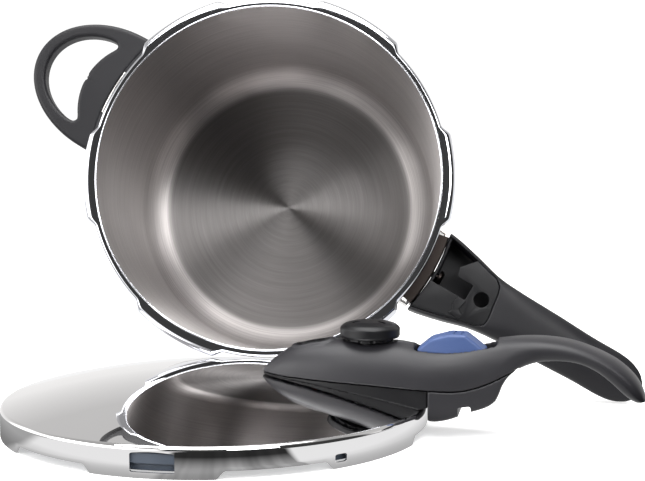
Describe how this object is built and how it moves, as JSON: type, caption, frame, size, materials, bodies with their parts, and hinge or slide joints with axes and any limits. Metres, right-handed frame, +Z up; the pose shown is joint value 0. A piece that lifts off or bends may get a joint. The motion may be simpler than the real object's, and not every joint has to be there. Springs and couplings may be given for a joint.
{
  "type": "stovetop pressure cooker",
  "caption": "Stainless stovetop pressure cooker with bayonet lid off: pot on its side, long and loop handles, lid with lock slider, valve knob and gasket.",
  "frame": {"origin": "middle of the footprint, on the table that the pot and the lid lie on", "axes": "+Z up from the table, +Y from the lid towards the pot, +X to the side of the long handles"},
  "size_m": [0.391, 0.4036, 0.2544],
  "materials": {
    "brushed_steel": "circular brushed, satin",
    "polished_steel": "mirror polish",
    "heat_tinted_steel": "dull, heat tinted",
    "fastener_steel": "plain",
    "core_aluminium": "rolled",
    "phenolic": "fine matte moulding",
    "black_plastic": "matte moulding",
    "blue_plastic": "satin moulding",
    "grey_rubber": "smooth silicone",
    "red_rubber": "smooth silicone"
  },
  "bodies": {
    "pot": {"pot_body": "brushed_steel", "base_core": "core_aluminium", "base_cap": "heat_tinted_steel", "pot_handle": "phenolic", "pot_handle_insert": "black_plastic", "flame_guard": "heat_tinted_steel", "pot_handle_screw": "fastener_steel", "pot_handle_bracket": "polished_steel", "side_handle": "phenolic", "side_handle_screw": "fastener_steel", "side_handle_bracket": "polished_steel"},
    "gasket_ring": {"gasket": "grey_rubber"},
    "lid": {"lid_shell": "polished_steel", "lid_handle_top": "phenolic", "lid_handle_base": "black_plastic", "lid_handle_foot": "phenolic", "lid_strap": "fastener_steel", "lid_screw_inner": "fastener_steel", "lid_screw_outer": "fastener_steel", "lock_spring": "fastener_steel", "valve_seat": "polished_steel", "valve_nut": "fastener_steel", "valve_filter": "polished_steel", "indicator_seal": "red_rubber", "safety_plug": "grey_rubber"},
    "slider": {"lock_slider": "blue_plastic"},
    "bolt": {"lock_bolt": "fastener_steel"},
    "knob": {"valve_knob": "black_plastic", "valve_spring": "fastener_steel"},
    "plug": {"valve_plug": "fastener_steel"},
    "indicator": {"indicator_pin": "red_rubber"}
  },
  "joints": [
    {"name": "lid_slide", "type": "slide", "parent": "pot", "child": "gasket_ring", "axis": [0, -1, 0], "range_m": [0, 0.26]},
    {"name": "lid_turn", "type": "hinge", "parent": "gasket_ring", "child": "lid", "pos_m": [-0.06764, -0.07832, 0.01], "axis": [0, 0, 1], "range_deg": [-30, 0]},
    {"name": "lock_slide", "type": "slide", "parent": "lid", "child": "slider", "axis": [0.9816, -0.1908, 0], "range_m": [0, 0.006], "stiffness_N_per_m": 400, "springref_m": -0.004},
    {"name": "bolt_slide", "type": "slide", "parent": "lid", "child": "bolt", "axis": [0.9816, -0.1908, 0], "range_m": [0, 0.006], "deforming": ["lock_spring"]},
    {"name": "valve_turn", "type": "hinge", "parent": "lid", "child": "knob", "pos_m": [0.02169, -0.09568, 0.05], "axis": [0, 0, 1], "range_deg": [0, 120]},
    {"name": "valve_lift", "type": "slide", "parent": "lid", "child": "plug", "axis": [0, 0, 1], "range_m": [0, 0.003], "stiffness_N_per_m": 900, "springref_m": -0.002, "deforming": ["valve_spring"]},
    {"name": "indicator_rise", "type": "slide", "parent": "lid", "child": "indicator", "axis": [0, 0, 1], "range_m": [0, 0.005]}
  ],
  "couplings": [
    {"joint": "bolt_slide", "follows": "lock_slide", "ratio": 1}
  ]
}
